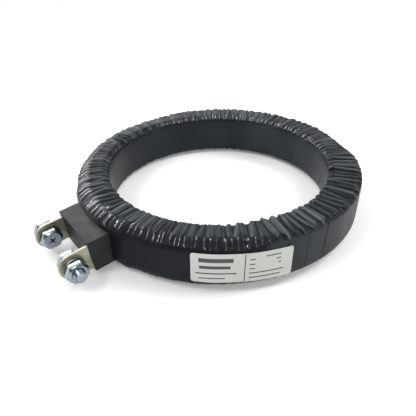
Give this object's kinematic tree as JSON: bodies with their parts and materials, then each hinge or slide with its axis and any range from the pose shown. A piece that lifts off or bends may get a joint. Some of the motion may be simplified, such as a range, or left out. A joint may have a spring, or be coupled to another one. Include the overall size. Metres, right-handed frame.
{
  "type": "current transformer",
  "caption": "Window-type current transformer: a tape-wrapped ring round a conductor window, with a terminal block of two screw terminals.",
  "frame": {"origin": "on the axis of the window, at mid-height of the ring", "axes": "+Z along the window's axis, away from the resting face; the terminal block is on -Y and its screws lie along X"},
  "size_m": [0.161, 0.1859, 0.0284],
  "materials": {
    "core_steel": "bare electrical steel strip",
    "pressboard": "matt brown board",
    "winding_copper": "enamelled copper wire",
    "polyester_film": "glossy clear film",
    "pvc_tape": "black self-adhesive tape, half gloss",
    "block_plastic": "black moulding, matt",
    "label_foil": "silver-grey foil",
    "tab_tin": "tinned brass, satin",
    "zinc_steel": "bright zinc plate",
    "spring_steel": "zinc plate, duller",
    "sleeve_plastic": "matt sleeving"
  },
  "bodies": {
    "root": {"core": "core_steel", "core_bore_liner": "pressboard", "core_bottom_ring": "pressboard", "core_outer_liner": "pressboard", "core_top_ring": "pressboard", "film_wrap": "polyester_film", "head_washer_s1": "zinc_steel", "head_washer_s2": "zinc_steel", "lead_s1": "winding_copper", "lead_s2": "winding_copper", "lead_sleeve_s1": "sleeve_plastic", "lead_sleeve_s2": "sleeve_plastic", "nut_s1": "zinc_steel", "nut_s2": "zinc_steel", "nut_washer_s1": "zinc_steel", "nut_washer_s2": "zinc_steel", "rating_label": "label_foil", "screw_s1": "zinc_steel", "screw_s2": "zinc_steel", "secondary_winding": "winding_copper", "spring_washer_s1": "spring_steel", "spring_washer_s2": "spring_steel", "tape_wrap": "pvc_tape", "terminal_block": "block_plastic", "terminal_tab_s1": "tab_tin", "terminal_tab_s2": "tab_tin"}
  },
  "joints": []
}
